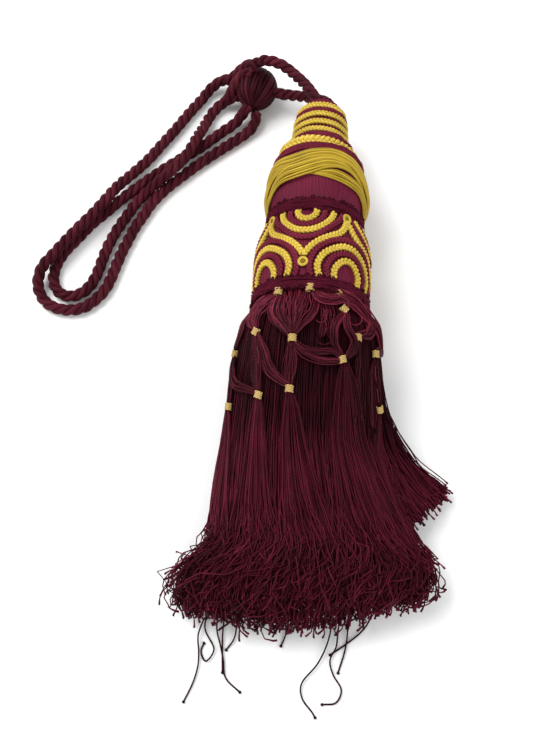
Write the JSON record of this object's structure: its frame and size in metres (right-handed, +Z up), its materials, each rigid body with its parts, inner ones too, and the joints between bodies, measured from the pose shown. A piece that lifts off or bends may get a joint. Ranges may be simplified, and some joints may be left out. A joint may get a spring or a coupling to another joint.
{
  "type": "curtain tieback tassel",
  "caption": "Curtain tieback tassel lying on its side: covered head with scrolled gimp trim, tied yarn net over a long thread skirt, and a looped laid rope with a wound knot.",
  "frame": {"origin": "middle of the small flat under the gimp at the foot of the head, where the head rests on the table", "axes": "+Z up from the table, +Y along the head towards the rope neck, -Y towards the skirt's ends, -X towards the rope loop"},
  "size_m": [0.2515, 0.3994, 0.0706],
  "materials": {
    "burgundy_rope": "satin",
    "burgundy_satin": "satin",
    "burgundy_gimp": "matte",
    "burgundy_yarn": "satin",
    "gold_gimp": "satin"
  },
  "bodies": {
    "root": {"cap": "burgundy_gimp", "braid_1": "gold_gimp", "braid_2": "gold_gimp", "braid_3": "gold_gimp", "braid_4": "gold_gimp", "braid_5": "gold_gimp", "bell": "burgundy_satin", "wrap_top": "gold_gimp", "wrap_left": "gold_gimp", "wrap_right": "gold_gimp", "waist_gimp": "burgundy_gimp", "drum": "burgundy_satin", "gimp_upper_outer_1": "gold_gimp", "gimp_upper_outer_2": "gold_gimp", "gimp_upper_outer_3": "gold_gimp", "gimp_upper_outer_4": "gold_gimp", "gimp_upper_inner_1": "gold_gimp", "gimp_upper_inner_2": "gold_gimp", "gimp_upper_inner_3": "gold_gimp", "gimp_upper_inner_4": "gold_gimp", "gimp_lower_outer_1": "gold_gimp", "gimp_lower_outer_2": "gold_gimp", "gimp_lower_outer_3": "gold_gimp", "gimp_lower_outer_4": "gold_gimp", "gimp_lower_inner_1": "gold_gimp", "gimp_lower_inner_2": "gold_gimp", "gimp_lower_inner_3": "gold_gimp", "gimp_lower_inner_4": "gold_gimp", "gimp_wave": "gold_gimp", "rosette_upper_1": "gold_gimp", "rosette_upper_2": "gold_gimp", "rosette_upper_3": "gold_gimp", "rosette_upper_4": "gold_gimp", "rosette_lower_1": "gold_gimp", "rosette_lower_2": "gold_gimp", "rosette_lower_3": "gold_gimp", "rosette_lower_4": "gold_gimp", "base_gimp": "burgundy_gimp", "skirt": "burgundy_yarn", "net": "burgundy_yarn", "loop_outer": "burgundy_rope", "loop_inner": "burgundy_rope", "neck_over": "burgundy_rope", "neck_under": "burgundy_rope", "rope_knot": "burgundy_rope"}
  },
  "joints": []
}
